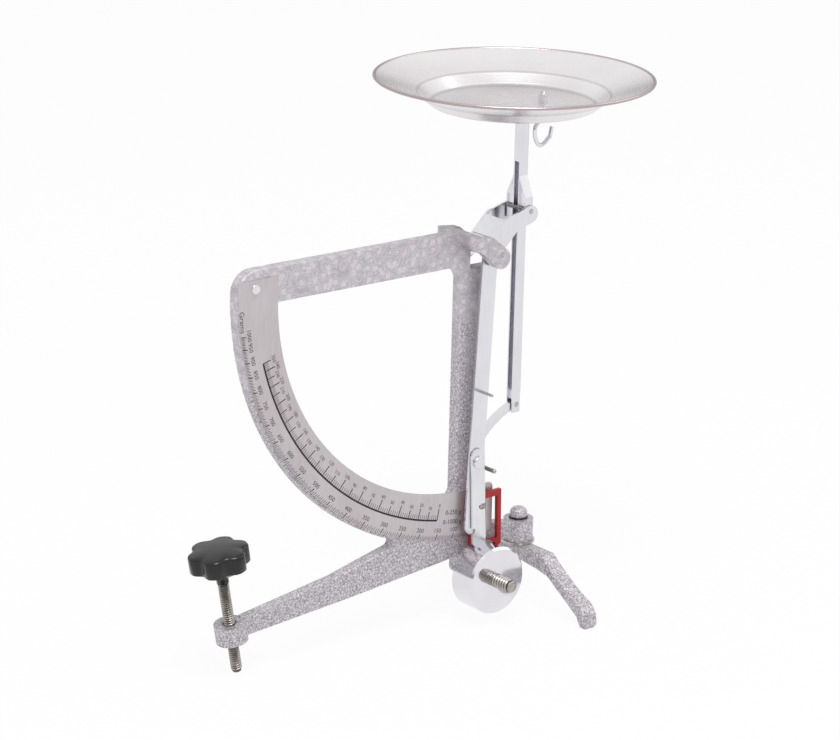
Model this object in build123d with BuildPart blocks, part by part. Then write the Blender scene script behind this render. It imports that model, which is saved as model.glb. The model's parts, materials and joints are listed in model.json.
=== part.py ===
from build123d import *
from math import atan2, cos, degrees, hypot, radians, sin, sqrt, tan
import os

# A bench lever balance with two weighing ranges. The pan is held level by a parallelogram: the beam
# turns on the main pivot, the stem hangs on the beam, and a stay link keeps the stem upright.
# Millimetres. X runs along the quadrant towards the pan, Y through it towards the back, Z up.
# Places are measured from the main pivot, and the bench is at Z = 0.

os.makedirs("parts", exist_ok=True)

# Main pivot in the part's frame
pivot_x = 46.3
pivot_height = 204.1

# Clearances
running = 0.05
side_play = 0.25
snug = 0.02

# Quadrant casting
cast_t = 7.0
bar_left = -163.4
bar_top = 12.2
bar_h = 18.9
post_left = -17.0
post_w = 20.5
post_shoulder = -8.5
rim_centre = (-3.6, -1.5)
sector_r = 159.8
window_centre = (-11.4, -5.5)
window_r = 130.0
corner_r = 12.0
inner_corner_r = 8.0
cast_edge_r = 0.8

# Yoke that carries the main pivot
yoke_half = 16.5
ear_t = 5.0
ear_r = 5.7
crossbar_back = -19.5
crossbar_front = -10.5
crossbar_bottom = 6.8
main_pin_d = 3.5
spacer_d = 7.0

# Base leg and its two bosses
leg_end_x = -157.0
leg_top_z = -174.2
leg_bottom_z = -184.2
swivel_x = 32.0
swivel_boss_d = 16.5
swivel_boss_h = 12.0
swivel_boss_top = -158.1

# Levelling screw, its boss and its knob
screw_boss_x = -163.2
screw_boss_z = -181.0
screw_lean = 10.5
screw_boss_d = 17.0
screw_boss_h = 10.4
screw_d = 6.0
screw_below = 23.5
screw_above = 40.0
knob_d = 34.4
knob_lobes = 7
knob_body_h = 9.8
knob_start = 30.2
knob_edge_r = 1.8
knob_collar_h = 8.5
knob_collar_d = 10.5

# Scale plate
plate_t = 0.7
dial_centre = -3.6
plate_in_r = 127.0
plate_out_r = 159.4
plate_right = 9.0
plate_top = 7.5
rivet_head_d = 5.2
rivet_head_h = 0.7
rivet_shank_d = 2.4
rivet_upper = (-152.5, 2.6)
rivet_lower = (-2.0, -149.5)

# Beam: bell crank and pendulum arm, one stamping of sheet
sheet = 1.3
beam_half = 9.25
load_x = 25.7
load_z = 18.6
knee = (13.0, 13.0)
crank_end = (25.9, 16.9)
crank_w = 10.4
crank_end_w = 9.4
web_start = 5.5
web_end = 17.5
arm_w = 10.0
arm_lean = 2.8
arm_offset = -1.6
arm_len = 152.0
sleeve_d = 6.5
stem_pin_d = 3.0

# Range rivet, its arm and the counterweight
rivet_down = 115.75
range_head_d = 6.8
range_head_h = 1.5
range_shank_d = 4.0
strip_w = 9.2
strip_lean = 2.7
strip_top = 3.0
strip_foot = 64.0
weight_d = 37.6
weight_front_y = -26.0
trim_d = 7.8
trim_out = 12.6
notch_turn = 5.7
notch_r = 1.7
peg_d = 1.6
upper_peg_down = 76.6
upper_peg_len = 9.3
lower_peg_above = 10.5
lower_peg_down = arm_len - lower_peg_above
lower_peg_side = 3.9
lower_peg_len = 2.4
recess_play = 0.4
recess_r = 1.6

# Cursor at the foot of the pendulum arm
cursor_t = 2.3
cursor_lean = 1.4
cursor_above = 16.6
cursor_below = 15.2
cursor_top = arm_len - cursor_above
cursor_bottom = arm_len + cursor_below
cursor_left = -12.5
cursor_right = 8.8
cursor_side_w = 2.6
cursor_top_w = 3.4
cursor_foot_w = 4.0
cursor_inner_left = -9.5
cursor_line_d = 0.4

# Stop pin on the post, clear above the cursor
stop_x = 1.3
stop_clear = 13.9
stop_z = stop_clear - cursor_top
stop_d = 2.4
stop_out = 11.5

# Pan stem
stem_w = 5.0
stem_left = -3.1
stem_right = 3.1
stem_sheet = 0.8
stem_foot = -95.5
skirt_top = 36.0
skirt_knee = 26.0
skirt_end = 12.6
box_from = 44.5

# Pan, its seat, its screw and the hook
pan_d = 150.0
pan_x = 18.85
pan_rim_z = 91.4
pan_wall = 0.8
pan_depth = 15.0
pan_well_r = 51.5
pan_well_drop = 8.7
pan_floor_r = 43.5
hem_r = 0.9
seat_t = 1.5
seat_w = 13.0
stud_x = 37.3
stud_y = -2.5
stud_d = 3.0
nut_d = 5.8
nut_h = 3.0
hook_wire_d = 2.4
hook_collar_d = 5.2
hook_collar_h = 3.5

# Stay link
stem_pivot_low = -91.1
link_t = 2.6
link_w = 5.4
link_end_d = 4.4
link_bow = 2.6
link_pin_d = 3.0
link_slack = 0.3
slot_w = 3.8
slot_above = 10.0
slot_below = 12.0
slot_back = -4.5

# Swivel legs
swivel_pin_d = 6.0
swivel_head_d = 9.6
swivel_head_h = 5.0
ring_t = 1.2
washer_d = 18.4
washer_t = 1.4
legs_w = 9.0
legs_h = 8.8
back_reach = 9.0
legs_bevel = 1.3

# Places worked out from the sizes
bar_bottom = bar_top - bar_h
post_right = post_left + post_w
cast_front = -cast_t / 2
plate_front = cast_front - plate_t
ear_in = yoke_half - ear_t
arm_back = -(beam_half - sheet)
strip_back = -beam_half - side_play
strip_front = strip_back - sheet
weight_back = strip_back - 0.2
swivel_boss_low = swivel_boss_top - swivel_boss_h
washer_low = swivel_boss_low - washer_t
legs_top = washer_low - 0.1
legs_low = legs_top - legs_h
bench = -pivot_height
link_z = stem_pivot_low - load_z
pan_floor_z = pan_rim_z - pan_depth
pan_under_z = pan_floor_z - pan_wall
seat_low = pan_under_z - seat_t


def side(y):
    """Upright plane seen from the front: x to the right, y up, origin on the main pivot."""
    return Plane(origin=(pivot_x, y, pivot_height), x_dir=(1, 0, 0), z_dir=(0, -1, 0))


def level(z, x=0.0, y=0.0):
    """Level plane at a height over the main pivot, its origin at x and y."""
    return Plane(origin=(pivot_x + x, y, pivot_height + z))


def across(x):
    """Upright plane square to X: its x is the part's Y, its y is up."""
    return Plane(origin=(pivot_x + x, 0, pivot_height), x_dir=(0, 1, 0), z_dir=(1, 0, 0))


def on_screw(distance):
    """Plane square to the levelling screw, at a distance up its axis from its boss."""
    lean = radians(screw_lean)
    x = screw_boss_x - distance * sin(lean)
    z = screw_boss_z + distance * cos(lean)
    return Plane(
        origin=(pivot_x + x, 0, pivot_height + z),
        x_dir=(cos(lean), 0, sin(lean)),
        z_dir=(-sin(lean), 0, cos(lean)),
    )


def arm_point(down, right=0.0):
    """Point on the pendulum arm, down its centre line and to the right of it."""
    lean = radians(arm_lean)
    x = arm_offset - down * sin(lean) + right * cos(lean)
    return (x, -down * cos(lean) - right * sin(lean))


def strip_point(down, right=0.0):
    """Point on the weight arm, down its centre line from the range rivet."""
    lean = radians(strip_lean)
    x, z = arm_point(rivet_down)
    return (x + down * sin(lean) + right * cos(lean), z - down * cos(lean) + right * sin(lean))


def on_strip(x, z):
    """How far a point lies down the weight arm and to the right of its centre line."""
    lean = radians(strip_lean)
    rivet_x, rivet_z = arm_point(rivet_down)
    x, z = x - rivet_x, z - rivet_z
    return (x * sin(lean) - z * cos(lean), x * cos(lean) + z * sin(lean))


def cursor_point(down, right):
    """Point on the cursor, whose centre line is a radius of the scale."""
    lean = radians(cursor_lean)
    return (down * sin(lean) + right * cos(lean), -down * cos(lean) + right * sin(lean))


def straight(a, b, width, mode=Mode.ADD):
    """Straight band with round ends from a to b in the current sketch."""
    with Locations(((a[0] + b[0]) / 2, (a[1] + b[1]) / 2)):
        SlotCenterToCenter(
            hypot(b[0] - a[0], b[1] - a[1]),
            width,
            rotation=degrees(atan2(b[1] - a[1], b[0] - a[0])),
            mode=mode,
        )


def outline(points, mode=Mode.ADD):
    """Filled polygon in the current sketch."""
    Polygon(*points, align=None, mode=mode)


def peg(x, z, diameter, back, front, mode=Mode.ADD):
    """Round peg or hole along Y in the current part, from one depth to another."""
    middle = (pivot_x + x, (back + front) / 2, pivot_height + z)
    with Locations(Plane(origin=middle, z_dir=(0, -1, 0)).location):
        Cylinder(diameter / 2, back - front, mode=mode)


def round_corner(x, z, radius):
    """Round the edge along Y that is nearest to a point, in the current part."""
    spot = (pivot_x + x, 0, pivot_height + z)
    fillet(edges().filter_by(Axis.Y).sort_by_distance(spot)[0], radius=radius)


def save(solid, name):
    solid.label = name
    export_step(solid, f"parts/{name}.step")


# Yoke: crossbar and two ears, the side outline cut by the plan outline
with BuildPart() as yoke:
    with BuildSketch(side(yoke_half)):
        outline(
            [
                (crossbar_back, 12.2),
                (-17.6, 11.6),
                (-6.0, 10.2),
                (3.85, 2.4),
                (0.2, -2.0),
                (-4.0, -6.0),
                (-12.6, 2.2),
                (crossbar_back, 5.3),
            ]
        )
        with Locations((0.2, -2.0)):
            Circle(ear_r)
    extrude(amount=2 * yoke_half)
    with BuildSketch(level(-20)):
        with Locations((0, 0)):
            outline(
                [
                    (crossbar_back, -yoke_half),
                    (8, -yoke_half),
                    (8, -ear_in),
                    (crossbar_front, -ear_in),
                    (crossbar_front, ear_in),
                    (8, ear_in),
                    (8, yoke_half),
                    (crossbar_back, yoke_half),
                ]
            )
        fillet(vertices().group_by(Axis.X)[0], radius=4)
    extrude(amount=50, mode=Mode.INTERSECT)
    with BuildSketch(side(ear_in)):
        with Locations((crossbar_back / 2, crossbar_bottom - 10)):
            Rectangle(-crossbar_back + 2, 20)
    extrude(amount=2 * ear_in, mode=Mode.SUBTRACT)

# Quadrant casting: top bar, post, sector rim, yoke, base leg and two bosses in one piece
with BuildPart() as frame_casting:
    with BuildSketch(side(0)):
        outline(
            [
                (-sector_r - 5, bar_top - 3),
                (crossbar_back, bar_top - 3),
                (crossbar_front, bar_top - 3),
                (crossbar_front, post_shoulder),
                (post_right, post_shoulder),
                (post_right, -sector_r - 1),
                (-sector_r - 5, -sector_r - 1),
            ]
        )
        with Locations(rim_centre):
            Circle(sector_r, mode=Mode.INTERSECT)
        outline(
            [
                (bar_left, bar_bottom),
                (bar_left, bar_top),
                (crossbar_back, bar_top),
                (crossbar_front, bar_top - 2.6),
                (crossbar_front, bar_bottom),
            ]
        )
        outline(
            [
                (leg_end_x, leg_top_z),
                (-98.0, -164.8),
                (-50.0, -152.9),
                (post_right, -154.0),
                (swivel_x, -154.0 - 6.0),
                (swivel_x, -167.0),
                (-12.1, -170.0),
                (-85.5, -178.0),
                (leg_end_x, leg_bottom_z),
            ]
        )
        wx, wz = window_centre
        rim_left = wx - sqrt(window_r**2 - (bar_bottom - wz) ** 2)
        rim_foot = wz - sqrt(window_r**2 - (post_left - wx) ** 2)
        with BuildLine():
            Line((rim_left, bar_bottom), (post_left, bar_bottom))
            Line((post_left, bar_bottom), (post_left, rim_foot))
            rim_mid = (wx - window_r * cos(radians(45)), wz - window_r * sin(radians(45)))
            ThreePointArc((post_left, rim_foot), rim_mid, (rim_left, bar_bottom))
        make_face(mode=Mode.SUBTRACT)
    extrude(amount=cast_t / 2, both=True)
    round_corner(bar_left, bar_top, corner_r)
    round_corner(post_left, bar_bottom, inner_corner_r)
    round_corner(rim_left, bar_bottom, 2)
    round_corner(post_left, rim_foot, 4)
    round_corner(-52.3, -153.8, 2.5)
    fillet(frame_casting.faces().filter_by(Axis.Y).edges(), radius=cast_edge_r)
    add(yoke.part)
    with BuildSketch(on_screw(-screw_boss_h / 2)):
        Circle(screw_boss_d / 2)
    extrude(amount=screw_boss_h)
    with BuildSketch(level(swivel_boss_low, swivel_x)):
        Circle(swivel_boss_d / 2)
    extrude(amount=swivel_boss_h)
    with BuildSketch(on_screw(-15)):
        Circle(screw_d / 2 + running)
    extrude(amount=30, mode=Mode.SUBTRACT)
    with BuildSketch(level(swivel_boss_low - 2, swivel_x)):
        Circle(swivel_pin_d / 2 + snug)
    extrude(amount=swivel_boss_h + 4, mode=Mode.SUBTRACT)
    peg(0, 0, main_pin_d + 2 * snug, yoke_half + 1, -yoke_half - 1, mode=Mode.SUBTRACT)
    with BuildSketch(side(slot_w / 2)):
        outline(
            [
                (slot_back, link_z - slot_below),
                (post_right + 1, link_z - slot_below),
                (post_right + 1, link_z + slot_above),
                (slot_back, link_z + slot_above),
            ]
        )
    extrude(amount=slot_w, mode=Mode.SUBTRACT)
    peg(0, link_z, link_pin_d + 2 * snug, 5, -5, mode=Mode.SUBTRACT)
    peg(stop_x, stop_z, stop_d + 2 * snug, 5, -5, mode=Mode.SUBTRACT)
    peg(*rivet_upper, rivet_shank_d + 2 * snug, -0.5, -5, mode=Mode.SUBTRACT)
    peg(*rivet_lower, rivet_shank_d + 2 * snug, -0.5, -5, mode=Mode.SUBTRACT)
save(frame_casting.part, "frame_casting")

# Scale plate, a curved strip of sheet that laps over the bar and past the post
with BuildPart() as scale_plate:
    with BuildSketch(side(cast_front)):
        in_left = wx - plate_in_r
        out_left = dial_centre - plate_out_r
        in_end = wz - sqrt(plate_in_r**2 - (plate_right - wx) ** 2)
        out_end = -sqrt(plate_out_r**2 - (plate_right - dial_centre) ** 2)
        in_mid = (wx - plate_in_r * sin(radians(45)), wz - plate_in_r * cos(radians(45)))
        out_mid = (dial_centre - plate_out_r * sin(radians(45)), -plate_out_r * cos(radians(45)))
        with BuildLine():
            Line((in_left, wz), (in_left, plate_top))
            Line((in_left, plate_top), (out_left, plate_top))
            Line((out_left, plate_top), (out_left, 0))
            ThreePointArc((out_left, 0), out_mid, (plate_right, out_end))
            Line((plate_right, out_end), (plate_right, in_end))
            ThreePointArc((plate_right, in_end), in_mid, (in_left, wz))
        make_face()
        fillet(vertices().sort_by_distance((plate_right, in_end, 0))[0], radius=3)
        fillet(vertices().sort_by_distance((plate_right, out_end, 0))[0], radius=3)
        fillet(vertices().group_by(Axis.Y)[-1], radius=1.5)
    extrude(amount=plate_t)
    peg(*rivet_upper, rivet_shank_d + 2 * snug, 0, -6, mode=Mode.SUBTRACT)
    peg(*rivet_lower, rivet_shank_d + 2 * snug, 0, -6, mode=Mode.SUBTRACT)
save(scale_plate.part, "scale_plate")

# Two rivets hold the scale plate
with BuildPart() as scale_rivet_upper:
    peg(*rivet_upper, rivet_shank_d, -1, plate_front)
    peg(*rivet_upper, rivet_head_d, plate_front, plate_front - rivet_head_h)
    fillet(scale_rivet_upper.edges().group_by(Axis.Y)[0], radius=0.5)
save(scale_rivet_upper.part, "scale_rivet_upper")

with BuildPart() as scale_rivet_lower:
    peg(*rivet_lower, rivet_shank_d, -1, plate_front)
    peg(*rivet_lower, rivet_head_d, plate_front, plate_front - rivet_head_h)
    fillet(scale_rivet_lower.edges().group_by(Axis.Y)[0], radius=0.5)
save(scale_rivet_lower.part, "scale_rivet_lower")

# Main pivot pin, held in both ears, with a spacer ring beside each ear
with BuildPart() as main_pivot_pin:
    peg(0, 0, main_pin_d, yoke_half, -yoke_half)
save(main_pivot_pin.part, "main_pivot_pin")

with BuildPart() as front_spacer:
    peg(0, 0, spacer_d, -beam_half - side_play, -ear_in)
    peg(0, 0, main_pin_d + 2 * snug, 0, -yoke_half, mode=Mode.SUBTRACT)
save(front_spacer.part, "front_spacer")

with BuildPart() as back_spacer:
    peg(0, 0, spacer_d, ear_in, beam_half + side_play)
    peg(0, 0, main_pin_d + 2 * snug, yoke_half, 0, mode=Mode.SUBTRACT)
save(back_spacer.part, "back_spacer")

# Stay link pivot pin, flush in the post
with BuildPart() as link_pivot_pin:
    peg(0, link_z, link_pin_d, cast_t / 2, cast_front)
save(link_pivot_pin.part, "link_pivot_pin")

# Stop pin beside the pendulum arm
with BuildPart() as stop_pin:
    peg(stop_x, stop_z, stop_d, cast_t / 2, cast_front - stop_out)
    fillet(stop_pin.edges().group_by(Axis.Y)[0], radius=0.6)
save(stop_pin.part, "stop_pin")

# Swivel rivet through the front boss, with a ring under its head and a washer over the legs
with BuildPart() as swivel_rivet:
    with BuildSketch(level(legs_low - 1.2, swivel_x)):
        Circle(swivel_head_d / 2)
    extrude(amount=1.2)
    with BuildSketch(level(legs_low, swivel_x)):
        Circle(swivel_pin_d / 2)
    extrude(amount=swivel_boss_top + ring_t - legs_low)
    with BuildSketch(level(swivel_boss_top + ring_t, swivel_x)):
        Circle(swivel_head_d / 2)
    extrude(amount=swivel_head_h)
    fillet(swivel_rivet.edges().group_by(Axis.Z)[-1], radius=3.2)
save(swivel_rivet.part, "swivel_rivet")

with BuildPart() as swivel_ring:
    with BuildSketch(level(swivel_boss_top, swivel_x)):
        Circle(swivel_head_d / 2 + 1.4)
        Circle(swivel_pin_d / 2 + snug, mode=Mode.SUBTRACT)
    extrude(amount=ring_t)
save(swivel_ring.part, "swivel_ring")

with BuildPart() as swivel_washer:
    with BuildSketch(level(washer_low, swivel_x)):
        Circle(washer_d / 2)
        Circle(swivel_pin_d / 2 + snug, mode=Mode.SUBTRACT)
    extrude(amount=washer_t)
save(swivel_washer.part, "swivel_washer")

# Beam: two cheeks joined by a web, the front one running down into the pendulum arm
with BuildPart() as beam_lever:
    for back in (beam_half, arm_back):
        with BuildSketch(side(back)):
            straight((0, 0), knee, crank_w)
            straight(knee, crank_end, crank_end_w)
            if back == arm_back:
                straight(arm_point(0), arm_point(arm_len), arm_w)
        extrude(amount=sheet)
    slope = degrees(atan2(knee[1], knee[0]))
    with BuildSketch(side(beam_half)):
        with Locations(Location((0, 0, 0), (0, 0, slope))):
            with Locations(((web_start + web_end) / 2, crank_w / 2 - sheet / 2)):
                Rectangle(web_end - web_start, sheet)
    extrude(amount=2 * beam_half)
    peg(0, 0, sleeve_d + 2 * snug, 12, -12, mode=Mode.SUBTRACT)
    peg(load_x, load_z, stem_pin_d + 2 * snug, 12, -12, mode=Mode.SUBTRACT)
    peg(*arm_point(rivet_down), range_shank_d + 2 * snug, 0, -12, mode=Mode.SUBTRACT)
    peg(*arm_point(upper_peg_down), peg_d + 2 * snug, 0, -12, mode=Mode.SUBTRACT)
    peg(*arm_point(lower_peg_down, lower_peg_side), peg_d + 2 * snug, 0, -12, mode=Mode.SUBTRACT)
save(beam_lever.part, "beam_lever")

# Bearing sleeve in the beam
with BuildPart() as pivot_sleeve:
    peg(0, 0, sleeve_d, beam_half, -beam_half)
    peg(0, 0, main_pin_d + 2 * running, 12, -12, mode=Mode.SUBTRACT)
save(pivot_sleeve.part, "pivot_sleeve")

# Pin that carries the stem at the end of the crank
with BuildPart() as stem_pivot_pin:
    peg(load_x, load_z, stem_pin_d, beam_half, -beam_half)
save(stem_pivot_pin.part, "stem_pivot_pin")

# Range rivet, two pegs in the pendulum arm
with BuildPart() as range_rivet:
    peg(*arm_point(rivet_down), range_head_d, arm_back + 0.8, arm_back)
    peg(*arm_point(rivet_down), range_shank_d, arm_back, strip_front)
    peg(*arm_point(rivet_down), range_head_d, strip_front - 0.05, strip_front - range_head_h)
    peg(*arm_point(rivet_down), range_shank_d, strip_front, strip_front - 0.1)
    fillet(range_rivet.edges().group_by(Axis.Y)[0], radius=0.6)
save(range_rivet.part, "range_rivet")

with BuildPart() as upper_peg:
    peg(*arm_point(upper_peg_down), peg_d, arm_back, -beam_half - upper_peg_len)
    fillet(upper_peg.edges().group_by(Axis.Y)[0], radius=0.4)
save(upper_peg.part, "upper_peg")

with BuildPart() as lower_peg:
    peg(*arm_point(lower_peg_down, lower_peg_side), peg_d, arm_back, -beam_half - lower_peg_len)
    fillet(lower_peg.edges().group_by(Axis.Y)[0], radius=0.4)
save(lower_peg.part, "lower_peg")

# Cursor frame on the back of the pendulum arm, with its index wire
with BuildPart() as cursor_frame:
    with BuildSketch(side(arm_back + cursor_t)):
        outline(
            [
                cursor_point(cursor_top, cursor_left),
                cursor_point(cursor_top, cursor_right),
                cursor_point(cursor_bottom, cursor_right),
                cursor_point(cursor_bottom, cursor_left),
            ]
        )
        outline(
            [
                cursor_point(cursor_top + cursor_top_w, cursor_inner_left),
                cursor_point(cursor_top + cursor_top_w, cursor_right - cursor_side_w),
                cursor_point(cursor_bottom - cursor_foot_w, cursor_right - cursor_side_w),
                cursor_point(cursor_bottom - cursor_foot_w, cursor_inner_left),
            ],
            mode=Mode.SUBTRACT,
        )
    extrude(amount=cursor_t)
    line_top = cursor_point(cursor_top + cursor_top_w / 2, 0)
    line_bottom = cursor_point(cursor_bottom - cursor_foot_w / 2, 0)
save(cursor_frame.part, "cursor_frame")

# Index wire, stretched across the back of the cursor
wire_y = arm_back + cursor_t + cursor_line_d / 2
with BuildPart() as cursor_line:
    lean = radians(cursor_lean)
    with BuildSketch(
        Plane(
            origin=(pivot_x + line_top[0], wire_y, pivot_height + line_top[1]),
            x_dir=(0, 1, 0),
            z_dir=(sin(lean), 0, -cos(lean)),
        )
    ):
        Rectangle(cursor_line_d, cursor_line_d)
    extrude(amount=hypot(line_bottom[0] - line_top[0], line_bottom[1] - line_top[1]))
save(cursor_line.part, "cursor_line")

# Weight arm: flat strip that turns on the range rivet, with a rest for each peg
notch_down = rivet_down - upper_peg_down
notch_side = notch_down * tan(radians(notch_turn))
recess_down, peg_side = on_strip(*arm_point(lower_peg_down, lower_peg_side))
with BuildPart() as weight_arm:
    with BuildSketch(side(strip_back)):
        straight(strip_point(-strip_top), strip_point(strip_foot), strip_w)
        with Locations(strip_point(notch_down, -notch_side)):
            Circle(notch_r, mode=Mode.SUBTRACT)
        straight(
            strip_point(recess_down, peg_side + recess_play),
            strip_point(recess_down, peg_side + recess_play + strip_w),
            2 * recess_r,
            mode=Mode.SUBTRACT,
        )
    extrude(amount=sheet)
    peg(*strip_point(0), range_shank_d + 2 * running, 0, -15, mode=Mode.SUBTRACT)
save(weight_arm.part, "weight_arm")

# Counterweight, grooved at the back to take the foot of the strip
weight_x, weight_z = strip_point(strip_foot)
with BuildPart() as counterweight:
    peg(weight_x, weight_z, weight_d, weight_back, weight_front_y)
    rims = counterweight.edges().filter_by(GeomType.CIRCLE).sort_by(Axis.Y)
    chamfer(rims[0], length=1.1)
    chamfer(rims[-1], length=0.6)
    with BuildSketch(side(weight_back + 1)):
        straight(strip_point(strip_foot), strip_point(strip_foot - 40), strip_w + 2 * snug)
    extrude(amount=weight_back + 1 - strip_front, mode=Mode.SUBTRACT)
    peg(weight_x, weight_z, trim_d + 2 * snug, weight_front_y + 6, -30, mode=Mode.SUBTRACT)
save(counterweight.part, "counterweight")

# Threaded trim stud in the front of the counterweight
with BuildPart() as trim_stud:
    peg(weight_x, weight_z, trim_d, weight_front_y + 6, weight_front_y - trim_out)
    fillet(trim_stud.edges().group_by(Axis.Y)[0], radius=1.2)
save(trim_stud.part, "trim_stud")

# Pan stem: sheet channel, boxed at the top, with skirts at the beam and a fork at the foot
with BuildPart() as pan_stem:
    with BuildSketch(level(stem_foot, load_x)):
        with Locations(((stem_left + stem_right) / 2, 0)):
            Rectangle(stem_right - stem_left, stem_w)
    extrude(amount=seat_low - stem_foot)
    fillet(pan_stem.edges().filter_by(Axis.Z).group_by(Axis.X)[-1], radius=1)
    with BuildSketch(level(stem_foot - 1, load_x)):
        with Locations((stem_left + (stem_right - stem_left - stem_sheet) / 2, 0)):
            Rectangle(stem_right - stem_left - stem_sheet, stem_w - 2 * stem_sheet)
    extrude(amount=seat_low - stem_foot + 2, mode=Mode.SUBTRACT)
    with BuildSketch(level(box_from, load_x)):
        with Locations((stem_left + stem_sheet / 2, 0)):
            Rectangle(stem_sheet, stem_w)
    extrude(amount=seat_low - box_from)
    with BuildSketch(across(load_x + stem_left)):
        for s in (-1, 1):
            inner = stem_w / 2 - stem_sheet
            out = beam_half - sheet - side_play
            outline(
                [
                    (s * inner, skirt_top),
                    (s * stem_w / 2, skirt_top + 1),
                    (s * out, skirt_knee),
                    (s * out, skirt_end),
                    (s * (out - stem_sheet), skirt_end),
                    (s * (out - stem_sheet), skirt_knee - 0.4),
                ]
            )
    extrude(amount=stem_right - stem_left - 0.8)
    with BuildSketch(side(10)):
        with Locations((load_x + stem_right, stem_pivot_low)):
            Rectangle(2 * stem_sheet + 0.02, 12)
    extrude(amount=20, mode=Mode.SUBTRACT)
    peg(load_x, load_z, stem_pin_d + 2 * running, 12, -12, mode=Mode.SUBTRACT)
    peg(load_x, stem_pivot_low, link_pin_d + 2 * snug, 12, -12, mode=Mode.SUBTRACT)
save(pan_stem.part, "pan_stem")

# Seat plate between the stem and the pan
with BuildPart() as pan_seat:
    with BuildSketch(level(seat_low, load_x, stud_y / 2)):
        straight((-1, 0), (stud_x - load_x, 0), seat_w)
    extrude(amount=seat_t)
    with BuildSketch(level(seat_low, stud_x, stud_y)):
        Circle(stud_d / 2 + snug)
    extrude(amount=seat_t, mode=Mode.SUBTRACT)
save(pan_seat.part, "pan_seat")

# Weighing pan: spun sheet dish with a wide flare and a hemmed rim
with BuildPart() as weighing_pan:
    middle = (pivot_x + pan_x, 0, pivot_height)
    with BuildSketch(Plane(origin=middle, x_dir=(1, 0, 0), z_dir=(0, -1, 0))):
        well_z = pan_rim_z - pan_well_drop
        rim = pan_d / 2
        outline(
            [
                (0, pan_floor_z),
                (pan_floor_r, pan_floor_z),
                (pan_well_r, well_z),
                (rim - hem_r, pan_rim_z - 0.3),
                (rim - hem_r, pan_rim_z - 0.3 - pan_wall * 1.05),
                (pan_well_r + 0.45, well_z - pan_wall),
                (pan_floor_r + 0.35, pan_under_z),
                (0, pan_under_z),
            ]
        )
        for corner, r in (
            ((pan_floor_r, pan_floor_z), 3.2),
            ((pan_floor_r + 0.35, pan_under_z), 4.0),
            ((pan_well_r, well_z), 4.0),
            ((pan_well_r + 0.45, well_z - pan_wall), 3.2),
        ):
            fillet(vertices().sort_by_distance((*corner, 0))[0], radius=r)
        with Locations((rim - hem_r, pan_rim_z - hem_r)):
            Circle(hem_r)
    revolve(axis=Axis((pivot_x + pan_x, 0, 0), (0, 0, 1)))
    with BuildSketch(level(pan_under_z - 1, stud_x, stud_y)):
        Circle(stud_d / 2 + snug)
    extrude(amount=4, mode=Mode.SUBTRACT)
save(weighing_pan.part, "weighing_pan")

# Load hook: bent wire with a collar under the seat and a stud through seat and pan
with BuildPart() as load_hook:
    with BuildLine(side(stud_y)) as wire:
        Spline(
            (stud_x, seat_low - hook_collar_h + 0.5),
            (stud_x - 0.6, 67.6),
            (33.2, 63.4),
            (32.2, 58.6),
            (37.1, 51.9),
            (42.6, 55.6),
            (44.2, 61.3),
            tangents=((0, -1), (0.2, 1)),
        )
    with BuildSketch(Plane(origin=wire.line @ 0, z_dir=wire.line % 0)):
        Circle(hook_wire_d / 2)
    sweep()
    with BuildSketch(level(seat_low - hook_collar_h, stud_x, stud_y)):
        Circle(hook_collar_d / 2)
    extrude(amount=hook_collar_h)
    with BuildSketch(level(seat_low, stud_x, stud_y)):
        Circle(stud_d / 2)
    extrude(amount=pan_floor_z + nut_h + 2 - seat_low)
save(load_hook.part, "load_hook")

# Nut in the pan
with BuildPart() as pan_nut:
    with BuildSketch(level(pan_floor_z, stud_x, stud_y)):
        RegularPolygon(nut_d / 2, 6)
        Circle(stud_d / 2 + snug, mode=Mode.SUBTRACT)
    extrude(amount=nut_h)
save(pan_nut.part, "pan_nut")

# Pin at the foot of the stem
with BuildPart() as link_end_pin:
    peg(load_x, stem_pivot_low, link_pin_d, stem_w / 2, -stem_w / 2)
save(link_end_pin.part, "link_end_pin")

# Stay link, bowed, between the post and the foot of the stem
with BuildPart() as stay_link:
    mid_x = load_x / 2
    mid_z = (link_z + stem_pivot_low) / 2
    run = hypot(load_x, load_z)
    with BuildSketch(side(link_t / 2)):
        with BuildLine():
            ThreePointArc(
                (0, link_z),
                (mid_x - link_bow * load_z / run, mid_z + link_bow * load_x / run),
                (load_x, stem_pivot_low),
            )
        trace(line_width=link_end_d)
        with Locations((0, link_z)):
            Circle(link_w / 2)
        with Locations((load_x, stem_pivot_low)):
            Circle(link_end_d / 2)
    extrude(amount=link_t)
    peg(0, link_z, link_pin_d + 2 * running, 5, -5, mode=Mode.SUBTRACT)
    peg(load_x, stem_pivot_low, link_pin_d + 2 * link_slack, 5, -5, mode=Mode.SUBTRACT)
save(stay_link.part, "stay_link")

# Levelling screw
with BuildPart() as levelling_screw:
    with BuildSketch(on_screw(-screw_below)):
        Circle(screw_d / 2)
    extrude(amount=screw_below + screw_above)
    chamfer(levelling_screw.edges().group_by(Axis.Z)[0], length=1.2)
save(levelling_screw.part, "levelling_screw")

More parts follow.
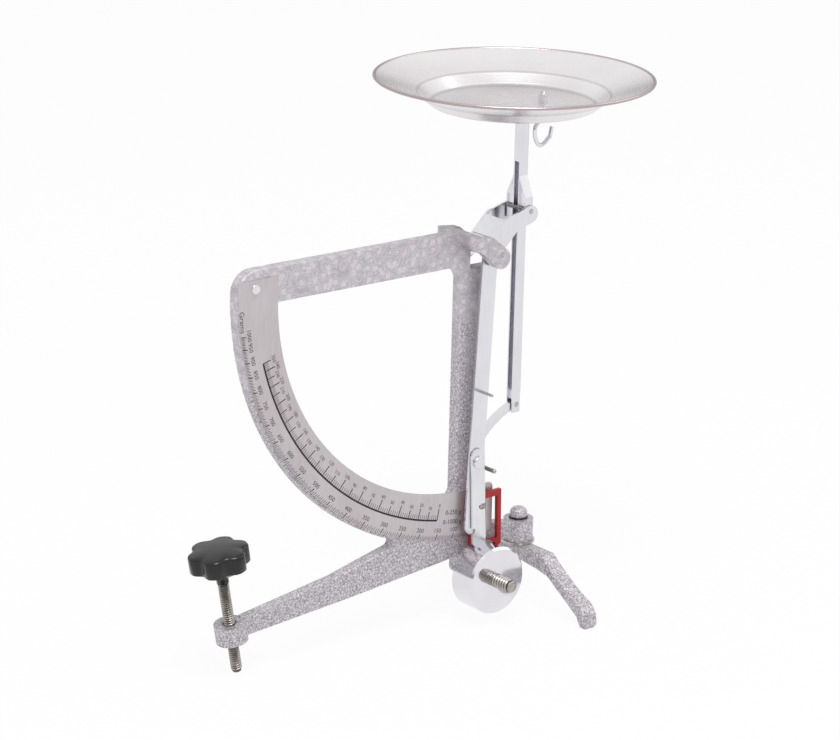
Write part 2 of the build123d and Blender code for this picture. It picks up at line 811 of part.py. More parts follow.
# Star knob: collar and lobed body with a slightly domed top
with BuildPart() as star_knob:
    with BuildSketch(on_screw(knob_start)):
        Circle(knob_collar_d / 2)
    extrude(amount=knob_collar_h + 1)
    with BuildSketch(on_screw(knob_start + knob_collar_h)):
        Circle(knob_d / 2 - 3.2)
        with PolarLocations(knob_d / 2 - 4.6, knob_lobes):
            Circle(4.6)
        with PolarLocations(knob_d / 2 + 2.6, knob_lobes, start_angle=180 / knob_lobes):
            Circle(5.0, mode=Mode.SUBTRACT)
    extrude(amount=knob_body_h)
    top = on_screw(knob_start + knob_collar_h + knob_body_h)
    crown = star_knob.faces().sort_by_distance(top.origin)[0]
    fillet(crown.edges(), radius=knob_edge_r)
    with BuildSketch(on_screw(knob_start - 1)):
        Circle(screw_d / 2 + running)
    extrude(amount=screw_above + 1 - knob_start + running, mode=Mode.SUBTRACT)
save(star_knob.part, "star_knob")

# Swivel legs: one bar with a bent leg and a foot on each side, the back one a little shorter
with BuildPart() as swivel_legs:
    half = [
        (0, legs_top),
        (26.3, legs_top - 0.2),
        (34.0, -177.6),
        (47.7, -186.0),
        (58.6, -190.9),
        (62.5, -195.6),
        (63.5, -201.4),
        (61.5, bench),
        (57.5, bench),
        (54.4, -199.0),
        (40.0, -190.0),
        (29.7, -183.4),
        (19.6, -181.6),
        (7.0, legs_low),
        (0, legs_low),
    ]
    with BuildSketch(across(swivel_x - legs_w / 2)):
        outline([(-y, z) for y, z in half])
        outline([(y - back_reach * min(y / 34.0, 1), z) for y, z in half])
    extrude(amount=legs_w)
    chamfer(swivel_legs.faces().filter_by(Axis.X).edges(), length=legs_bevel)
    with BuildSketch(level(legs_low - 2, swivel_x)):
        Circle(swivel_pin_d / 2 + running)
    extrude(amount=legs_h + 4, mode=Mode.SUBTRACT)
save(swivel_legs.part, "swivel_legs")
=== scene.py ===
import json
import math

import bmesh
import bpy
from mathutils import Matrix, Vector


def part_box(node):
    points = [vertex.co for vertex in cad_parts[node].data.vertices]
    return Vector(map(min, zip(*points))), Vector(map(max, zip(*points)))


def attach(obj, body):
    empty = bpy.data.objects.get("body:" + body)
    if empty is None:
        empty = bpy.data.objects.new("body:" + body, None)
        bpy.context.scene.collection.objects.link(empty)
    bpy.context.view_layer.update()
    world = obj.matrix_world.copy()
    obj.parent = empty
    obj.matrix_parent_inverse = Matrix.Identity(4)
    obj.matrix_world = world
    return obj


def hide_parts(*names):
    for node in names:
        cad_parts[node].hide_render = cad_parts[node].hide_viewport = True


bl_info = {
    "name": "Lever balance",
    "version": (1, 0, 0),
    "blender": (4, 5, 0),
    "location": "View3D > Sidebar > Balance",
    "description": "Dresses a two-range lever balance: dial, threads, knob, ring and finishes",
    "category": "Object",
}

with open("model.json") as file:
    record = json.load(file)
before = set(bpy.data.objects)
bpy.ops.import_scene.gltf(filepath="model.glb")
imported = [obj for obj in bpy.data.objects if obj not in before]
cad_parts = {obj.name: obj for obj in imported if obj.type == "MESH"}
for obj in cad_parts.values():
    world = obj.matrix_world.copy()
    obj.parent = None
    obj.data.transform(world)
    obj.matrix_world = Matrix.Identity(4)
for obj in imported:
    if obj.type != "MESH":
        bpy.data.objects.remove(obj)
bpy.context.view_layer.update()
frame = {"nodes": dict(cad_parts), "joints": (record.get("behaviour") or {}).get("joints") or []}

MM = 0.001
# The beam turns on this point, and the dial's angles are taken at it from straight down
PIVOT = Vector((0.0463, 0.0, 0.2041))
# The stem hangs this far to the right of the pivot and above it, in mm
STEM_X, STEM_Z = 25.7, 18.6
# The arcs of the dial are struck from a point a little left of the pivot
ARC_OFFSET = 3.6 * MM
ARC_CENTRE = PIVOT - Vector((ARC_OFFSET, 0, 0))
# The printing stands this far proud of the dial sheet
PROUD = 0.03 * MM
# From the pivot to the plane of the printing
INK = Vector((0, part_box("scale_plate")[0].y - PIVOT.y - PROUD, 0))

# Angle between straight down and the zero of both ranges
ZERO = math.radians(-1.4)
# What the beam carries without a load, as grams at the stem
CARRIED = 129.9
# The pendulum's strength in gram millimetres and its lead over the beam, with the weight swung
# down and swung up
HIGH_RANGE = (24077.0, math.radians(7.46))
LOW_RANGE = (9067.6, math.radians(11.83))
# The marks of the high range lean this much from the line to the pivot
HIGH_LEAN = math.radians(16)

# Radii of the printing in mm, struck from the arcs' centre. A mark or figure takes the first
# radius whose key, in grams, divides its load
HIGH_OUTER = 159.25
HIGH_INNER = {50: 156.3, 10: 156.9, 5: 157.5}
HIGH_FIGURES = 154.3
LOW_OUTER = 148.5
LOW_INNER = {20: 142.0, 10: 143.7, 2: 145.6}
LOW_FIGURES = {20: 140.3, 10: 141.8}
# Words on the dial: text, angle in degrees, radius and height in mm
WORDS = (
    ("Grams", 85.2, 157.9, 3.0),
    ("0-250 g", 7.3, 144.5, 2.6),
    ("0-1000 g", 7.3, 149.8, 2.6),
)
# Figures and capitals of Blender's own typeface stand this share of its size
CAP_SHARE = 0.7

# Collar under the CAD knob, whose rim is the lowest point of its box
COLLAR_R = 5.25 * MM
# The knob's body stands this far over the top of the CAD knob
KNOB_RAISED = 0.3 * MM
# A hollow between two lobes stands at this angle round the screw, and is narrower the higher
# its power
NOTCH_ANGLE = math.radians(12)
NOTCH_POWER = 1.7
# The knob's outline: height over the body's top in mm, share of the outside radius, and
# roundness, from 0 on the lobes to 1 on a plain circle. It starts at the body's lower edge and
# goes up to the crowned top, and from the same edge down over the hollow cone to the neck
KNOB_EDGE = (-10.4, 0.985)
KNOB_UP = (
    (-10.0, 1.0, 0.0),
    (-1.9, 1.0, 0.0),
    (-1.2, 0.975, 0.0),
    (-0.7, 0.9, 0.1),
    (-0.1, 0.72, 0.4),
    (0.4, 0.45, 0.8),
    (0.6, 0.2, 1.0),
)
KNOB_DOWN = (
    (-10.6, 0.93, 0.1),
    (-10.9, 0.76, 1.0),
    (-12.9, 0.62, 1.0),
    (-15.0, 0.26, 1.0),
    (-15.9, 0.205, 1.0),
)
# The neck ends this far below the CAD knob's foot, at this share of the outside radius
NECK_END = (-1.4 * MM, 0.2)

# Where the photograph was taken from, the point in its middle, and its roll to the right
CAMERA_AT = Vector((-1.11937, -1.36866, 0.68965))
CAMERA_AIM = Vector((0.01539, 0.01185, 0.13883))
CAMERA_ROLL = math.radians(1.427)
# The lamps point at the middle of the balance
LAMP_AIM = Vector((0.0, 0.0, 0.15))


def linear(code):
    """Linear colour with alpha from an sRGB hex value such as "#c9c6c4"."""
    values = [int(code[i : i + 2], 16) / 255 for i in (1, 3, 5)]
    return tuple(v / 12.92 if v <= 0.04045 else ((v + 0.055) / 1.055) ** 2.4 for v in values) + (1.0,)


def grey(level):
    return (level, level, level, 1.0)


def colour(name, code, words):
    return bpy.props.FloatVectorProperty(
        name=name, description=words, subtype="COLOR", size=4, min=0, max=1, default=linear(code)
    )


def length(name, value, words):
    return bpy.props.FloatProperty(
        name=name, description=words, default=value, min=0, subtype="DISTANCE", unit="LENGTH"
    )


def power(name, value, words):
    return bpy.props.FloatProperty(name=name, description=words, default=value, min=0, unit="POWER")


class BalanceDial(bpy.types.PropertyGroup):
    ink: colour("Ink", "#2b2829", "Colour of the printed marks")
    figure_height: length("High figures", 2.4 * MM, "Height of the high range's numbers")
    low_figure_height: length("Low figures", 1.92 * MM, "Height of the low range's numbers")
    fine_line: length("Fine line", 0.28 * MM, "Width of the small marks")
    bold_line: length("Bold line", 0.55 * MM, "Width of the numbered marks")
    heavy_arc: length("Heavy arc", 1.0 * MM, "Width of the arc under the low range")


class BalanceFinish(bpy.types.PropertyGroup):
    enamel: colour("Enamel", "#dad4da", "Flat of the hammered enamel")
    enamel_crack: colour("Enamel cracks", "#9a949b", "Lines of the hammered pattern")
    sheet: colour("Plated sheet", "#e4e3e8", "Beam, weight arm, stem and stay link")
    chrome: colour("Chrome", "#e6e4e9", "Plated weight, hook and rivets")
    dial_metal: colour("Dial metal", "#cfc8cb", "Brushed face of the dial")
    pan_metal: colour("Pan metal", "#ebe8e9", "Spun pan")
    steel: colour("Steel", "#bdb9b6", "Pins, spacers and washer")
    old_steel: colour("Old steel", "#b4aea9", "Levelling screw and trim stud")
    # Painted shade: the roots of the threads are drawn in this darker steel to stand for the shade
    # between the ridges
    thread_root: colour("Thread root", "#6b6561", "Shaded bottom of the threads")
    cursor_red: colour("Cursor red", "#b0121d", "Moulded cursor")
    # On the swivel ring this black is painted shade for the gap under the rivet's dome
    knob_black: colour("Knob black", "#120e14", "Moulded knob and ring")


class BalanceThread(bpy.types.PropertyGroup):
    screw_d: length("Screw diameter", 6.0 * MM, "Outside of the levelling screw's thread")
    screw_pitch: length("Screw pitch", 1.25 * MM, "Spacing at which the screw's ridges are drawn")
    stud_pitch: length("Stud pitch", 2.0 * MM, "Spacing at which the trim stud's ridges are drawn")


class BalanceKnob(bpy.types.PropertyGroup):
    radius: length("Radius", 16.2 * MM, "Outside of the lobes")
    lobes: bpy.props.IntProperty(name="Lobes", description="Lobes round the knob", default=6, min=3)
    notch_depth: length("Notch depth", 2.7 * MM, "Depth of the hollows between the lobes")


class BalanceStage(bpy.types.PropertyGroup):
    floor: colour("Floor", "#f4f4f4", "Plain pale floor")
    white_share: bpy.props.FloatProperty(
        name="White share",
        description="How far the floor is seen as plain white",
        default=0.93,
        min=0,
        max=1,
        subtype="FACTOR",
    )
    key_power: power("Key lamp", 27.0, "Power of the large soft lamp")
    fill_power: power("Fill lamp", 5.0, "Power of the far soft lamp")
    world_level: bpy.props.FloatProperty(
        name="World", description="Level of the even light", default=0.6, min=0
    )


def add_node(tree, kind, settings=None, links=None, stops=()):
    """Adds a node, sets its sockets or fields by name, links other nodes' outputs to its inputs,
    and gives a colour ramp its stops of place and colour."""
    node = tree.nodes.new(kind)
    for key, value in (settings or {}).items():
        if isinstance(key, int) or key in node.inputs:
            node.inputs[key].default_value = value
        else:
            setattr(node, key, value)
    for key, (source, output) in (links or {}).items():
        tree.links.new(source.outputs[output], node.inputs[key])
    if stops:
        for _ in stops[2:]:
            node.color_ramp.elements.new(0.5)
        for element, (place, value) in zip(node.color_ramp.elements, stops):
            element.position = place
            element.color = value
    return node


def new_material(name, settings):
    """Empty material with one Principled shader; returns (material, tree, shader)."""
    material = bpy.data.materials.new(name)
    material.use_nodes = True
    tree = material.node_tree
    tree.nodes.clear()
    shader = add_node(tree, "ShaderNodeBsdfPrincipled", settings)
    add_node(tree, "ShaderNodeOutputMaterial", links={"Surface": (shader, "BSDF")})
    return material, tree, shader


def hammered_enamel(finish):
    """Silver hammered stoving enamel on a casting: a metallic paint that draws up into soft rounded
    cells with thin dark lines between them. The cells are 1.7 mm across on most of the casting, and
    4.6 mm across high on the quadrant, where the paint lies thick and smooth. A painted shade
    darkens the enamel round the screw's hole, standing for the hole's shadow."""
    material, tree, shader = new_material("hammered_enamel", {"Metallic": 0.3, "Roughness": 0.4})
    place = add_node(tree, "ShaderNodeTexCoord")
    drift = add_node(
        tree, "ShaderNodeTexNoise", {"Scale": 420.0, "Detail": 2.0}, {"Vector": (place, "Object")}
    )
    bent = add_node(
        tree,
        "ShaderNodeVectorMath",
        {"operation": "MULTIPLY_ADD", 1: (0.0025, 0.0025, 0.0025)},
        {0: (drift, "Color"), 2: (place, "Object")},
    )
    looks = []
    for across, feature, stops in (
        (1.7 * MM, "DISTANCE_TO_EDGE", ((0.0, 0.0), (0.05, 0.4), (0.12, 0.9), (0.2, 1.0))),
        (4.6 * MM, "F1", ((0.0, 1.0), (0.38, 1.0), (0.46, 0.45), (0.55, 0.85), (0.8, 0.5))),
    ):
        cells = add_node(
            tree,
            "ShaderNodeTexVoronoi",
            {"feature": feature, "Scale": 1 / across},
            {"Vector": (bent, "Vector")},
        )
        looks.append(
            add_node(
                tree,
                "ShaderNodeValToRGB",
                links={"Fac": (cells, "Distance")},
                stops=[(stop, grey(value)) for stop, value in stops],
            )
        )
    parts = add_node(tree, "ShaderNodeSeparateXYZ", links={"Vector": (place, "Object")})
    cloud = add_node(
        tree, "ShaderNodeTexNoise", {"Scale": 45.0, "Detail": 1.0}, {"Vector": (place, "Object")}
    )
    level = add_node(
        tree,
        "ShaderNodeMath",
        {"operation": "MULTIPLY_ADD", 1: 0.09},
        {0: (cloud, "Fac"), 2: (parts, "Z")},
    )
    thick = add_node(
        tree,
        "ShaderNodeMapRange",
        {"From Min": 0.185, "From Max": 0.215},
        {"Value": (level, "Value")},
    )
    height = add_node(
        tree,
        "ShaderNodeMix",
        {"data_type": "RGBA", "blend_type": "MIX"},
        {0: (thick, "Result"), 6: (looks[0], "Color"), 7: (looks[1], "Color")},
    )
    light = add_node(
        tree,
        "ShaderNodeMix",
        {"data_type": "RGBA", "blend_type": "MIX", 6: finish.enamel_crack, 7: finish.enamel},
        {0: (height, 2)},
    )
    # Metal flakes in the paint, 1.2 mm apart, drawn as coarse as they have to be to show
    flakes = add_node(
        tree, "ShaderNodeTexNoise", {"Scale": 820.0, "Detail": 3.0}, {"Vector": (place, "Object")}
    )
    dust = add_node(
        tree,
        "ShaderNodeValToRGB",
        links={"Fac": (flakes, "Fac")},
        stops=[(0.34, grey(0.6)), (0.5, grey(0.92)), (0.66, grey(1.16))],
    )
    shown = add_node(
        tree, "ShaderNodeMapRange", {"To Min": 1.0, "To Max": 0.35}, {"Value": (thick, "Result")}
    )
    flaked = add_node(
        tree,
        "ShaderNodeMix",
        {"data_type": "RGBA", "blend_type": "MULTIPLY"},
        {0: (shown, "Result"), 6: (light, 2), 7: (dust, "Color")},
    )
    # Painted shade round the screw's hole: dark at the screw and gone 1.6 mm outside it
    tip, lean, _ = screw_line(bpy.context.scene.balance_thread)
    away = add_node(
        tree,
        "ShaderNodeVectorMath",
        {"operation": "SUBTRACT", 1: tuple(tip)},
        {0: (place, "Object")},
    )
    across = add_node(
        tree,
        "ShaderNodeVectorMath",
        {"operation": "CROSS_PRODUCT", 1: tuple(lean)},
        {0: (away, "Vector")},
    )
    reach = add_node(
        tree, "ShaderNodeVectorMath", {"operation": "LENGTH"}, {0: (across, "Vector")}
    )
    hole_shade = add_node(
        tree,
        "ShaderNodeMapRange",
        {"From Min": 3.5 * MM, "From Max": 4.6 * MM, "To Min": 0.22, "To Max": 1.0},
        {"Value": (reach, "Value")},
    )
    final = add_node(
        tree,
        "ShaderNodeMix",
        {"data_type": "RGBA", "blend_type": "MULTIPLY", 0: 1.0},
        {6: (flaked, 2), 7: (hole_shade, "Result")},
    )
    tree.links.new(final.outputs[2], shader.inputs["Base Color"])
    domes = add_node(
        tree, "ShaderNodeBump", {"Strength": 0.4, "Distance": 0.0002}, {"Height": (height, 2)}
    )
    grain = add_node(
        tree,
        "ShaderNodeBump",
        {"Strength": 0.25, "Distance": 0.0001},
        {"Height": (flakes, "Fac"), "Normal": (domes, "Normal")},
    )
    tree.links.new(grain.outputs["Normal"], shader.inputs["Normal"])
    return material


def polished_metal(name, base, roughness, smear):
    """Bright plated metal: nearly a mirror, with long soft smears and fine wipe marks that change
    the gloss a little from place to place."""
    material, tree, shader = new_material(name, {"Metallic": 1.0, "Roughness": roughness})
    place = add_node(tree, "ShaderNodeTexCoord")
    stretch = add_node(
        tree, "ShaderNodeMapping", {"Scale": (1.0, 1.0, 0.15)}, {"Vector": (place, "Object")}
    )
    wipe = add_node(
        tree, "ShaderNodeTexNoise", {"Scale": 500.0, "Detail": 5.0}, {"Vector": (stretch, "Vector")}
    )
    cloud = add_node(
        tree, "ShaderNodeTexNoise", {"Scale": 60.0, "Detail": 3.0}, {"Vector": (place, "Object")}
    )
    smeared = tuple(c * smear for c in base[:3]) + (1.0,)
    tone = add_node(
        tree,
        "ShaderNodeValToRGB",
        links={"Fac": (cloud, "Fac")},
        stops=[(0.3, smeared), (0.7, tuple(base))],
    )
    tree.links.new(tone.outputs["Color"], shader.inputs["Base Color"])
    gloss = add_node(
        tree,
        "ShaderNodeMapRange",
        {"From Min": 0.3, "From Max": 0.7, "To Min": roughness * 0.75, "To Max": roughness * 1.5},
        {"Value": (wipe, "Fac")},
    )
    tree.links.new(gloss.outputs["Result"], shader.inputs["Roughness"])
    bump = add_node(
        tree, "ShaderNodeBump", {"Strength": 0.04, "Distance": 0.0001}, {"Height": (wipe, "Fac")}
    )
    tree.links.new(bump.outputs["Normal"], shader.inputs["Normal"])
    return material


def spun_pan(finish):
    """Spun and polished pan: fine rings round its axis from the spinning tool, soft stains, and
    painted dark reflections along its bends and hem.
    """
    material, tree, shader = new_material("spun_pan_metal", {"Metallic": 1.0, "Roughness": 0.27})
    low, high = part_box("weighing_pan")
    centre = (low + high) / 2
    place = add_node(tree, "ShaderNodeTexCoord")
    middle = add_node(
        tree,
        "ShaderNodeMapping",
        {"Location": (-centre.x, -centre.y, -low.z)},
        {"Vector": (place, "Object")},
    )
    flat = add_node(
        tree,
        "ShaderNodeVectorMath",
        {"operation": "MULTIPLY", 1: (1.0, 1.0, 0.0)},
        {0: (middle, "Vector")},
    )
    radius = add_node(
        tree, "ShaderNodeVectorMath", {"operation": "LENGTH"}, {0: (flat, "Vector")}
    )
    zones = add_node(
        tree,
        "ShaderNodeMapRange",
        {"From Min": 0.0, "From Max": high.x - centre.x},
        {"Value": (radius, "Value")},
    )
    # Floor, bend, wall, bend, flare and hem: the floor is drawn a little darker than the wall and
    # flare, and the bends and the hem carry painted dark reflections, pinkish on the hem
    wear_and_bend_shade = add_node(
        tree,
        "ShaderNodeValToRGB",
        links={"Fac": (zones, "Result")},
        stops=[
            (0.0, grey(0.88)),
            (0.56, grey(0.86)),
            (0.582, grey(0.6)),
            (0.6, grey(0.96)),
            (0.672, grey(1.0)),
            (0.686, grey(0.72)),
            (0.7, grey(0.97)),
            (0.972, grey(1.0)),
            (0.982, (0.5, 0.42, 0.43, 1.0)),
            (0.994, (0.62, 0.54, 0.55, 1.0)),
        ],
    )
    # Tool rings 0.6 mm apart, as coarse as they have to be to show
    rings = add_node(
        tree,
        "ShaderNodeTexNoise",
        {"noise_dimensions": "1D", "Scale": 1600.0, "Detail": 2.0},
        {"W": (radius, "Value")},
    )
    stain = add_node(
        tree, "ShaderNodeTexNoise", {"Scale": 22.0, "Detail": 4.0}, {"Vector": (place, "Object")}
    )
    base = tuple(finish.pan_metal)
    stained = (base[0] * 0.9, base[1] * 0.88, base[2] * 0.885, 1.0)
    tone = add_node(
        tree,
        "ShaderNodeValToRGB",
        links={"Fac": (stain, "Fac")},
        stops=[(0.3, stained), (0.62, base)],
    )
    final = add_node(
        tree,
        "ShaderNodeMix",
        {"data_type": "RGBA", "blend_type": "MULTIPLY", 0: 1.0},
        {6: (tone, "Color"), 7: (wear_and_bend_shade, "Color")},
    )
    tree.links.new(final.outputs[2], shader.inputs["Base Color"])
    gloss = add_node(
        tree,
        "ShaderNodeMapRange",
        {"From Min": 0.3, "From Max": 0.7, "To Min": 0.2, "To Max": 0.34},
        {"Value": (rings, "Fac")},
    )
    tree.links.new(gloss.outputs["Result"], shader.inputs["Roughness"])
    bump = add_node(
        tree, "ShaderNodeBump", {"Strength": 0.06, "Distance": 0.0001}, {"Height": (rings, "Fac")}
    )
    tree.links.new(bump.outputs["Normal"], shader.inputs["Normal"])
    return material


def brushed_dial(finish):
    """Brushed aluminium dial sheet: fine straight brushing along the plate, clear lacquer on top."""
    material, tree, shader = new_material(
        "brushed_dial_aluminium", {"Metallic": 0.55, "Roughness": 0.4, "Coat Weight": 0.15}
    )
    place = add_node(tree, "ShaderNodeTexCoord")
    # Brush lines run up and down, 0.4 mm apart, as coarse as they have to be to show
    long = add_node(
        tree, "ShaderNodeMapping", {"Scale": (1.0, 1.0, 0.03)}, {"Vector": (place, "Object")}
    )
    brush = add_node(
        tree, "ShaderNodeTexNoise", {"Scale": 2600.0, "Detail": 3.0}, {"Vector": (long, "Vector")}
    )
    cloud = add_node(
        tree, "ShaderNodeTexNoise", {"Scale": 30.0, "Detail": 2.0}, {"Vector": (place, "Object")}
    )
    base = tuple(finish.dial_metal)
    dulled = (base[0] * 0.88, base[1] * 0.86, base[2] * 0.87, 1.0)
    tone = add_node(
        tree,
        "ShaderNodeValToRGB",
        links={"Fac": (cloud, "Fac")},
        stops=[(0.3, dulled), (0.7, base)],
    )
    streak = add_node(
        tree,
        "ShaderNodeValToRGB",
        links={"Fac": (brush, "Fac")},
        stops=[(0.3, grey(0.9)), (0.7, grey(1.05))],
    )
    final = add_node(
        tree,
        "ShaderNodeMix",
        {"data_type": "RGBA", "blend_type": "MULTIPLY", 0: 1.0},
        {6: (tone, "Color"), 7: (streak, "Color")},
    )
    tree.links.new(final.outputs[2], shader.inputs["Base Color"])
    bump = add_node(
        tree, "ShaderNodeBump", {"Strength": 0.08, "Distance": 0.0001}, {"Height": (brush, "Fac")}
    )
    tree.links.new(bump.outputs["Normal"], shader.inputs["Normal"])
    return material


def turned_steel(name, base, roughness, rust):
    """Bare turned steel of screws and pins: warm grey, dulled in spots by oil and a little rust."""
    material, tree, shader = new_material(name, {"Metallic": 1.0, "Roughness": roughness})
    place = add_node(tree, "ShaderNodeTexCoord")
    spots = add_node(
        tree, "ShaderNodeTexNoise", {"Scale": 420.0, "Detail": 5.0}, {"Vector": (place, "Object")}
    )
    spotted = (base[0] * (1 - 0.8 * rust), base[1] * (1 - 0.9 * rust), base[2] * (1 - rust), 1.0)
    tone = add_node(
        tree,
        "ShaderNodeValToRGB",
        links={"Fac": (spots, "Fac")},
        stops=[(0.32, spotted), (0.55, tuple(base))],
    )
    tree.links.new(tone.outputs["Color"], shader.inputs["Base Color"])
    bump = add_node(
        tree, "ShaderNodeBump", {"Strength": 0.2, "Distance": 0.0001}, {"Height": (spots, "Fac")}
    )
    tree.links.new(bump.outputs["Normal"], shader.inputs["Normal"])
    return material


def moulded_plastic(name, base, roughness, ior, mottle):
    """Moulded plastic: one body colour with a glossy skin, a slight orange peel and fine scuffs."""
    material, tree, shader = new_material(name, {"Roughness": roughness, "IOR": ior})
    place = add_node(tree, "ShaderNodeTexCoord")
    peel = add_node(
        tree, "ShaderNodeTexNoise", {"Scale": 350.0, "Detail": 2.0}, {"Vector": (place, "Object")}
    )
    scuff = add_node(
        tree, "ShaderNodeTexNoise", {"Scale": 90.0, "Detail": 6.0}, {"Vector": (place, "Object")}
    )
    mottled = tuple(c * mottle for c in base[:3]) + (1.0,)
    tone = add_node(
        tree,
        "ShaderNodeValToRGB",
        links={"Fac": (scuff, "Fac")},
        stops=[(0.35, mottled), (0.7, tuple(base))],
    )
    tree.links.new(tone.outputs["Color"], shader.inputs["Base Color"])
    gloss = add_node(
        tree,
        "ShaderNodeMapRange",
        {"From Min": 0.3, "From Max": 0.7, "To Min": roughness * 0.8, "To Max": roughness * 1.5},
        {"Value": (scuff, "Fac")},
    )
    tree.links.new(gloss.outputs["Result"], shader.inputs["Roughness"])
    bump = add_node(
        tree, "ShaderNodeBump", {"Strength": 0.06, "Distance": 0.0002}, {"Height": (peel, "Fac")}
    )
    tree.links.new(bump.outputs["Normal"], shader.inputs["Normal"])
    return material


def printed_ink(dial):
    """Screen-printed black ink: matt, slightly thin where it wore."""
    material, tree, shader = new_material("printed_ink", {"Roughness": 0.6})
    place = add_node(tree, "ShaderNodeTexCoord")
    wear = add_node(
        tree, "ShaderNodeTexNoise", {"Scale": 700.0, "Detail": 3.0}, {"Vector": (place, "Object")}
    )
    ink = tuple(dial.ink)
    wear_and_bend_shade = (ink[0] * 2.2, ink[1] * 2.2, ink[2] * 2.2, 1.0)
    tone = add_node(
        tree,
        "ShaderNodeValToRGB",
        links={"Fac": (wear, "Fac")},
        stops=[(0.5, ink), (0.75, wear_and_bend_shade)],
    )
    tree.links.new(tone.outputs["Color"], shader.inputs["Base Color"])
    return material


def finish_object(mesh, name, materials, body, smooth=False):
    """Turns a bmesh into a named object at the origin that rides on a body."""
    if smooth:
        for face in mesh.faces:
            face.smooth = True
    data = bpy.data.meshes.new(name)
    mesh.to_mesh(data)
    mesh.free()
    piece = bpy.data.objects.new(name, data)
    bpy.context.scene.collection.objects.link(piece)
    for material in materials:
        data.materials.append(material)
    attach(piece, body)
    return piece


class BALANCE_OT_finishes(bpy.types.Operator):
    """Gives every CAD node its finish"""

    bl_idname = "balance.finishes"
    bl_label = "Finishes"

    def execute(self, context):
        finish = context.scene.balance_finish
        by_material = {
            hammered_enamel(finish): ("frame_casting", "swivel_legs", "swivel_rivet"),
            brushed_dial(finish): ("scale_plate",),
            polished_metal("satin_plate", finish.sheet, roughness=0.2, smear=0.93): (
                "beam_lever",
                "weight_arm",
                "pan_stem",
                "pan_seat",
                "stay_link",
            ),
            polished_metal("bright_chrome", finish.chrome, roughness=0.09, smear=0.92): (
                "counterweight",
                "load_hook",
                "range_rivet",
                "scale_rivet_upper",
                "scale_rivet_lower",
                "pan_nut",
            ),
            turned_steel("bright_steel", finish.steel, roughness=0.25, rust=0.25): (
                "main_pivot_pin",
                "front_spacer",
                "back_spacer",
                "link_pivot_pin",
                "pivot_sleeve",
                "stem_pivot_pin",
                "upper_peg",
                "lower_peg",
                "cursor_line",
                "stop_pin",
                "link_end_pin",
                "swivel_washer",
            ),
            turned_steel("worn_steel", finish.old_steel, roughness=0.3, rust=0.35): (
                "trim_stud",
                "levelling_screw",
            ),
            spun_pan(finish): ("weighing_pan",),
            moulded_plastic(
                "red_acetal", finish.cursor_red, roughness=0.3, ior=1.48, mottle=0.8
            ): ("cursor_frame",),
            # On the swivel ring the black is painted shade for the gap under the rivet's dome
            moulded_plastic(
                "black_phenolic", finish.knob_black, roughness=0.15, ior=1.5, mottle=0.75
            ): ("star_knob", "swivel_ring"),
        }
        for material, names in by_material.items():
            for name in names:
                slots = frame["nodes"][name].data.materials
                slots.clear()
                slots.append(material)
        return {"FINISHED"}


def from_pivot(radius, angle):
    """Distance from the pivot to an arc of the dial, in the direction of a mark."""
    return ARC_OFFSET * math.sin(angle) + math.sqrt(radius**2 - (ARC_OFFSET * math.cos(angle)) ** 2)


def arc_angle(radius, angle):
    """Angle at the arcs' centre of the point where a mark meets an arc."""
    reach = from_pivot(radius, angle)
    return math.atan2(reach * math.sin(angle) - ARC_OFFSET, reach * math.cos(angle))


def load_angle(load, strength, lead):
    """Beam angle at which the pendulum balances a load, found by halving."""
    low, high = 0.0, math.radians(100)
    for _ in range(50):
        middle = (low + high) / 2
        pull = (CARRIED + load) * (STEM_X * math.cos(middle) + STEM_Z * math.sin(middle))
        if pull > strength * math.sin(middle + lead):
            low = middle
        else:
            high = middle
    return low


def high_angle(load):
    return ZERO + load_angle(load, *HIGH_RANGE)


def low_angle(load):
    return ZERO + load_angle(load, *LOW_RANGE)


def by_step(load, radii):
    """First radius whose key divides the load."""
    return next(radius * MM for step, radius in radii.items() if load % step == 0)


def add_mark(mesh, angle, inner, outer, width, lean=0.0):
    """Flat line on the dial between two arcs, in line with the pivot or leaning from that line."""
    near, far = from_pivot(inner, angle), from_pivot(outer, angle)
    middle = Matrix.Translation((0, 0, -(near + far) / 2))
    turn = Matrix.Rotation(angle, 4, "Y")
    tilt = Matrix.Rotation(lean, 4, "Y")
    across = Matrix.Rotation(math.pi / 2, 4, "X")
    size = Matrix.Diagonal((width, (far - near) / math.cos(lean), 1, 1))
    place = Matrix.Translation(PIVOT + INK) @ turn @ middle @ tilt @ across @ size
    bmesh.ops.create_grid(mesh, x_segments=1, y_segments=1, size=0.5, matrix=place)


def add_arc(mesh, start, end, radius, width, steps):
    """Flat band along an arc of the dial, spun from one short edge."""
    start, end = arc_angle(radius, start), arc_angle(radius, end)
    down = Vector((-math.sin(start), 0, -math.cos(start)))
    near = mesh.verts.new(ARC_CENTRE + INK + down * (radius - width / 2))
    far = mesh.verts.new(ARC_CENTRE + INK + down * (radius + width / 2))
    edge = mesh.edges.new((near, far))
    bmesh.ops.spin(
        mesh,
        geom=[near, far, edge],
        cent=ARC_CENTRE,
        axis=(0, 1, 0),
        angle=end - start,
        steps=steps,
        use_merge=False,
    )


def add_words(mesh, text, angle, radius, height):
    """Flat lettering on the dial whose top points to the pivot."""
    curve = bpy.data.curves.new("dial_words", "FONT")
    curve.body = text
    curve.size = height / CAP_SHARE
    curve.align_x = "CENTER"
    curve.align_y = "CENTER"
    curve.resolution_u = 3
    holder = bpy.data.objects.new("dial_words", curve)
    bpy.context.scene.collection.objects.link(holder)
    flat = bpy.data.meshes.new_from_object(holder)
    stand = Matrix.Rotation(math.pi / 2, 4, "X")
    turn = Matrix.Rotation(angle, 4, "Y")
    shift = Matrix.Translation((0, 0, -from_pivot(radius, angle)))
    flat.transform(Matrix.Translation(PIVOT + INK) @ turn @ shift @ stand)
    mesh.from_mesh(flat)
    bpy.data.objects.remove(holder)
    bpy.data.curves.remove(curve)
    bpy.data.meshes.remove(flat)


